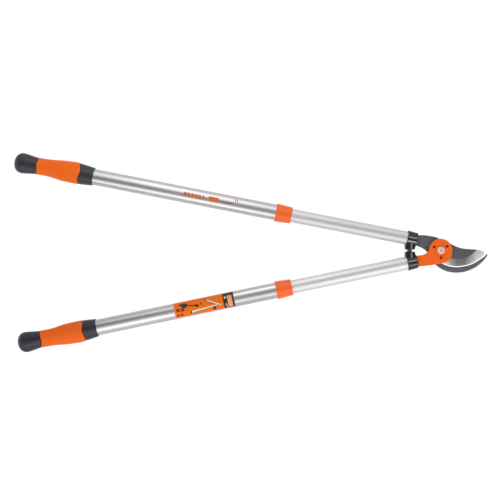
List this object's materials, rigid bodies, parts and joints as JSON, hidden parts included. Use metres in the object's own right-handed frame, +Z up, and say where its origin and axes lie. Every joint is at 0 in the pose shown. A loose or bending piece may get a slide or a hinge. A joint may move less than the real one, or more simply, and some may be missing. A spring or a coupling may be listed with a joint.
{
  "type": "bypass loppers",
  "caption": "Two-handed telescopic bypass loppers: curved cutting blade and hooked counter blade on a pivot bolt, twist-lock aluminium handles, moulded grips.",
  "frame": {"origin": "on the supporting plane, under the middle of the tool's bounding box", "axes": "+X towards the blade tips along the bisector of the handles, +Z up from the side the tool lies on to the orange hub's face"},
  "size_m": [0.8862, 0.3734, 0.038],
  "materials": {
    "orange_paint": "satin powder coat",
    "blade_steel": "dark coated flat, ground bevel",
    "coated_steel": "dark satin coating on steel",
    "screw_steel": "blackened",
    "bright_steel": "zinc plated",
    "aluminium_tube": "satin drawn tube",
    "socket_plastic": "moulded, semi-gloss",
    "inner_plastic": "moulded",
    "buffer_rubber": "matt",
    "collar_orange": "moulded satin",
    "grip_black": "fine moulded texture",
    "grip_orange": "soft matt",
    "label_film": "printed film"
  },
  "bodies": {
    "lower_arm": {"blade_arm": "orange_paint", "cutting_blade": "blade_steel", "blade_screw_1": "screw_steel", "blade_screw_2": "screw_steel", "blade_screw_3": "screw_steel", "pivot_bolt": "bright_steel", "pivot_washer": "bright_steel", "pivot_nut": "bright_steel", "lower_inner_tube": "aluminium_tube", "lower_socket": "socket_plastic", "lower_buffer": "buffer_rubber", "lower_tang_insert": "inner_plastic", "lower_tang_pin": "bright_steel", "lower_guide_bush": "inner_plastic"},
    "upper_arm": {"counter_blade": "coated_steel", "upper_inner_tube": "aluminium_tube", "upper_socket": "socket_plastic", "upper_buffer": "buffer_rubber", "upper_tang_insert": "inner_plastic", "upper_tang_pin": "bright_steel", "upper_guide_bush": "inner_plastic"},
    "lower_handle": {"lower_outer_tube": "aluminium_tube", "lower_collet": "inner_plastic", "lower_grip_core": "grip_black", "lower_grip_sleeve": "grip_orange", "instruction_label": "label_film"},
    "upper_handle": {"upper_outer_tube": "aluminium_tube", "upper_collet": "inner_plastic", "upper_grip_core": "grip_black", "upper_grip_sleeve": "grip_orange"},
    "lower_collar": {"lower_lock_collar": "collar_orange"},
    "upper_collar": {"upper_lock_collar": "collar_orange"}
  },
  "joints": [
    {"name": "jaw_pivot", "type": "hinge", "parent": "lower_arm", "child": "upper_arm", "pos_m": [0.354, -0.00046, 0.017], "axis": [0, 0, -1], "range_deg": [0, 60]},
    {"name": "upper_telescope", "type": "slide", "parent": "upper_arm", "child": "upper_handle", "axis": [0.9803, -0.1977, 0], "range_m": [0, 0.215]},
    {"name": "upper_collar_twist", "type": "hinge", "parent": "upper_handle", "child": "upper_collar", "pos_m": [0.06056, 0.06962, 0.019], "axis": [0.9803, -0.1977, 0], "range_deg": [0, 90]},
    {"name": "lower_telescope", "type": "slide", "parent": "lower_arm", "child": "lower_handle", "axis": [0.9803, 0.1977, 0], "range_m": [0, 0.215]},
    {"name": "lower_collar_twist", "type": "hinge", "parent": "lower_handle", "child": "lower_collar", "pos_m": [0.06056, -0.07054, 0.019], "axis": [0.9803, 0.1977, 0], "range_deg": [0, 90]}
  ]
}
